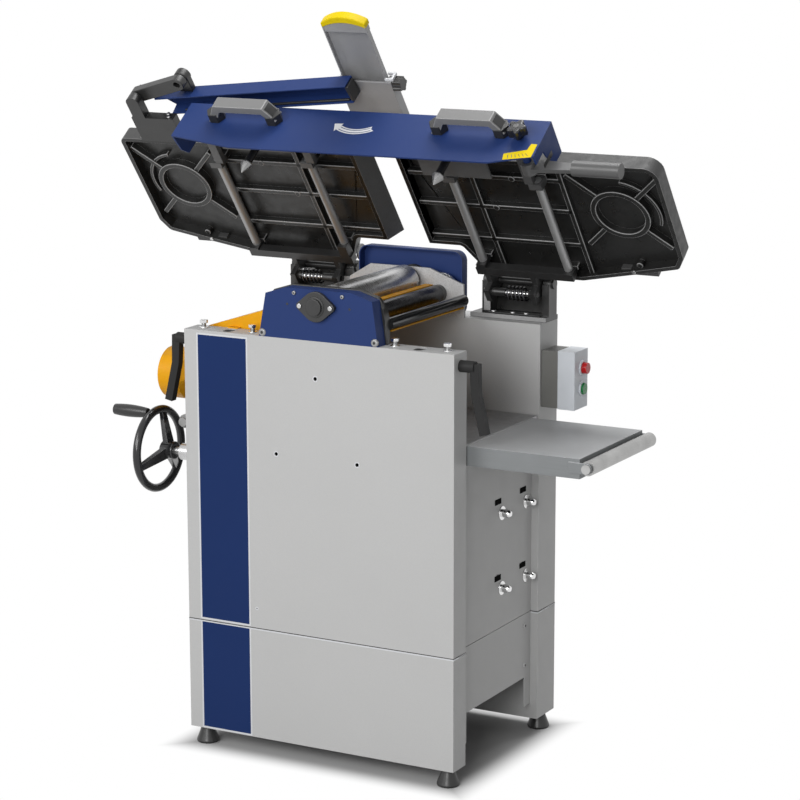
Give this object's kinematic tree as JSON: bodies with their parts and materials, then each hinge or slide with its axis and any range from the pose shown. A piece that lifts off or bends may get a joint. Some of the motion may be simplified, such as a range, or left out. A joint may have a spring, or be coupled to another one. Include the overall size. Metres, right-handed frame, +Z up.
{
  "type": "combination planer thicknesser",
  "caption": "Cabinet planer thicknesser with both planing tables tilted up over the cutterblock, bridge guard, dust hood, thicknessing table with crank wheel, clamp levers and switch box.",
  "frame": {"origin": "on the floor, under the middle of the cabinet", "axes": "+X along the feed towards the infeed side, +Y to the back, +Z up"},
  "size_m": [1.061, 0.4525, 1.3047],
  "materials": {
    "painted_grey": "satin powder coat",
    "painted_blue": "satin powder coat",
    "painted_black": "satin black coat",
    "black_casting": "black coated casting, machined top",
    "machined_iron": "machined",
    "zinc_sheet": "bright zinc",
    "steel": "turned",
    "aluminium": "anodised",
    "black_plastic": "fine grain",
    "amber_plastic": "smooth",
    "yellow_plastic": "smooth",
    "light_plastic": "smooth",
    "red_plastic": "smooth",
    "green_plastic": "smooth",
    "motor_paint": "satin",
    "belt_rubber": "ribbed"
  },
  "bodies": {
    "cabinet": {"stand_front_box": "painted_grey", "stand_rear_box": "painted_grey", "cabinet_front_box": "painted_grey", "cabinet_rear_box": "painted_grey", "side_panels": "painted_grey", "feet": "belt_rubber", "cabinet_fasteners": "steel", "front_end_plate": "painted_blue", "front_bearing_block": "painted_black", "rear_end_plate": "zinc_sheet", "rear_guard_plate": "painted_blue", "bearing_units": "painted_black", "journal_blocks": "painted_black", "tie_bar": "steel", "feed_chain": "steel", "dust_hood": "amber_plastic", "motor": "motor_paint", "drive_belt": "belt_rubber", "hinge_brackets": "painted_black", "guide_rods": "steel", "switch_base": "painted_black", "switch_cover": "light_plastic"},
    "tables": {"hinge_arms": "painted_black", "hinge_springs": "steel", "outfeed_table": "black_casting", "table_tubes": "steel", "rest_plates": "zinc_sheet", "lock_pins": "steel", "front_bar": "painted_blue", "bar_handles": "black_plastic", "guard_mount": "painted_black"},
    "infeed": {"infeed_table": "black_casting"},
    "left_latch": {"left_latch_rod": "steel"},
    "right_latch": {"right_latch_rod": "steel"},
    "star_knob": {"star_knob": "black_plastic"},
    "depth_lever": {"depth_lever": "black_plastic"},
    "guard_link": {"guard_link": "painted_black"},
    "guard_arm": {"guard_arm": "painted_blue", "guard_carriage": "aluminium"},
    "guard_bridge": {"guard_bridge": "aluminium", "guard_end_cap": "yellow_plastic"},
    "guard_knob": {"guard_knob": "black_plastic"},
    "cutter": {"cutterblock": "steel", "planer_knives": "steel"},
    "infeed_roller": {"infeed_roller": "steel"},
    "outfeed_roller": {"outfeed_roller": "steel"},
    "motor_pulley": {"motor_pulley": "steel"},
    "bed": {"thicknesser_table": "machined_iron", "lift_bracket": "machined_iron", "extension_table": "zinc_sheet"},
    "extension_roller": {"extension_roller": "aluminium"},
    "outfeed_end_roller": {"outfeed_end_roller": "aluminium"},
    "lift_screw": {"lift_screw": "steel"},
    "crank": {"crank_shaft": "steel", "handwheel": "black_plastic"},
    "crank_grip": {"crank_grip": "black_plastic"},
    "stop_button": {"stop_button": "red_plastic"},
    "start_button": {"start_button": "green_plastic"},
    "left_clamp": {"left_clamp_lever": "black_plastic"},
    "right_clamp": {"right_clamp_lever": "black_plastic"}
  },
  "joints": [
    {"name": "tables_lift", "type": "hinge", "parent": "cabinet", "child": "tables", "pos_m": [0, 0.18, 0.8195], "axis": [1, 0, 0], "range_deg": [0, 52.5]},
    {"name": "infeed_depth", "type": "slide", "parent": "tables", "child": "infeed", "axis": [0, -0.7934, -0.6088], "range_m": [0, 0.003]},
    {"name": "depth_lever_turn", "type": "hinge", "parent": "tables", "child": "depth_lever", "pos_m": [0.343, -0.08225, 1.05943], "axis": [0, 0.6088, -0.7934], "range_deg": [0, 30]},
    {"name": "star_knob_turn", "type": "hinge", "parent": "tables", "child": "star_knob", "pos_m": [0.334, -0.10122, 1.11042], "axis": [0, -0.6088, 0.7934], "range_deg": [-180, 180]},
    {"name": "left_latch_pull", "type": "slide", "parent": "tables", "child": "left_latch", "axis": [1, 0, 0], "range_m": [0, 0.006], "stiffness_N_per_m": 600, "springref_m": -0.004},
    {"name": "right_latch_pull", "type": "slide", "parent": "tables", "child": "right_latch", "axis": [-1, 0, 0], "range_m": [0, 0.006], "stiffness_N_per_m": 600, "springref_m": -0.004},
    {"name": "guard_link_swing", "type": "hinge", "parent": "tables", "child": "guard_link", "pos_m": [-0.453, -0.04716, 1.14182], "axis": [0, -0.7934, -0.6088], "range_deg": [0, 60]},
    {"name": "guard_arm_swing", "type": "hinge", "parent": "guard_link", "child": "guard_arm", "pos_m": [-0.354, -0.06725, 1.168], "axis": [0, -0.7934, -0.6088], "range_deg": [0, 60]},
    {"name": "guard_bridge_slide", "type": "slide", "parent": "guard_arm", "child": "guard_bridge", "axis": [0, 0.6088, -0.7934], "range_m": [-0.05, 0.2]},
    {"name": "guard_knob_turn", "type": "hinge", "parent": "guard_arm", "child": "guard_knob", "pos_m": [0.0645, -0.03077, 1.1796], "axis": [1, 0, 0], "range_deg": [-180, 180]},
    {"name": "cutter_spin", "type": "hinge", "parent": "cabinet", "child": "cutter", "pos_m": [0.004, 0, 0.815], "axis": [0, 1, 0], "continuous": true},
    {"name": "motor_pulley_spin", "type": "hinge", "parent": "cabinet", "child": "motor_pulley", "pos_m": [0.004, 0.142, 0.13], "axis": [0, 1, 0], "continuous": true},
    {"name": "infeed_roller_spin", "type": "hinge", "parent": "cabinet", "child": "infeed_roller", "pos_m": [0.067, 0, 0.797], "axis": [0, 1, 0], "continuous": true},
    {"name": "outfeed_roller_spin", "type": "hinge", "parent": "cabinet", "child": "outfeed_roller", "pos_m": [-0.059, 0, 0.797], "axis": [0, 1, 0], "continuous": true},
    {"name": "crank_turn", "type": "hinge", "parent": "cabinet", "child": "crank", "pos_m": [-0.337, -0.176, 0.529], "axis": [1, 0, 0], "range_deg": [-450, 2700]},
    {"name": "bed_lift", "type": "slide", "parent": "cabinet", "child": "bed", "axis": [0, 0, 1], "range_m": [-0.005, 0.03]},
    {"name": "lift_screw_turn", "type": "hinge", "parent": "cabinet", "child": "lift_screw", "pos_m": [-0.045, -0.176, 0.6], "axis": [0, 0, 1], "range_deg": [-450, 2700]},
    {"name": "crank_grip_spin", "type": "hinge", "parent": "crank", "child": "crank_grip", "pos_m": [-0.38, -0.19873, 0.59732], "axis": [1, 0, 0], "continuous": true},
    {"name": "extension_roller_spin", "type": "hinge", "parent": "bed", "child": "extension_roller", "pos_m": [0.486, 0, 0.577], "axis": [0, 1, 0], "continuous": true},
    {"name": "outfeed_end_roller_spin", "type": "hinge", "parent": "bed", "child": "outfeed_end_roller", "pos_m": [-0.299, 0, 0.577], "axis": [0, 1, 0], "continuous": true},
    {"name": "stop_button_press", "type": "slide", "parent": "cabinet", "child": "stop_button", "axis": [-1, 0, 0], "range_m": [0, 0.003], "stiffness_N_per_m": 800, "springref_m": -0.002},
    {"name": "start_button_press", "type": "slide", "parent": "cabinet", "child": "start_button", "axis": [-1, 0, 0], "range_m": [0, 0.003], "stiffness_N_per_m": 800, "springref_m": -0.002},
    {"name": "left_clamp_turn", "type": "hinge", "parent": "cabinet", "child": "left_clamp", "pos_m": [-0.28, -0.176, 0.733], "axis": [-1, 0, 0], "range_deg": [0, 45]},
    {"name": "right_clamp_turn", "type": "hinge", "parent": "cabinet", "child": "right_clamp", "pos_m": [0.28, -0.176, 0.733], "axis": [-1, 0, 0], "range_deg": [0, 45]}
  ],
  "couplings": [
    {"joint": "depth_lever_turn", "follows": "infeed_depth", "rad_per_m": 174.53},
    {"joint": "motor_pulley_spin", "follows": "cutter_spin", "ratio": 0.57895},
    {"joint": "infeed_roller_spin", "follows": "cutter_spin", "ratio": -0.015},
    {"joint": "outfeed_roller_spin", "follows": "cutter_spin", "ratio": -0.015},
    {"joint": "crank_turn", "follows": "bed_lift", "rad_per_m": 1570.8},
    {"joint": "lift_screw_turn", "follows": "bed_lift", "rad_per_m": 1570.8}
  ]
}
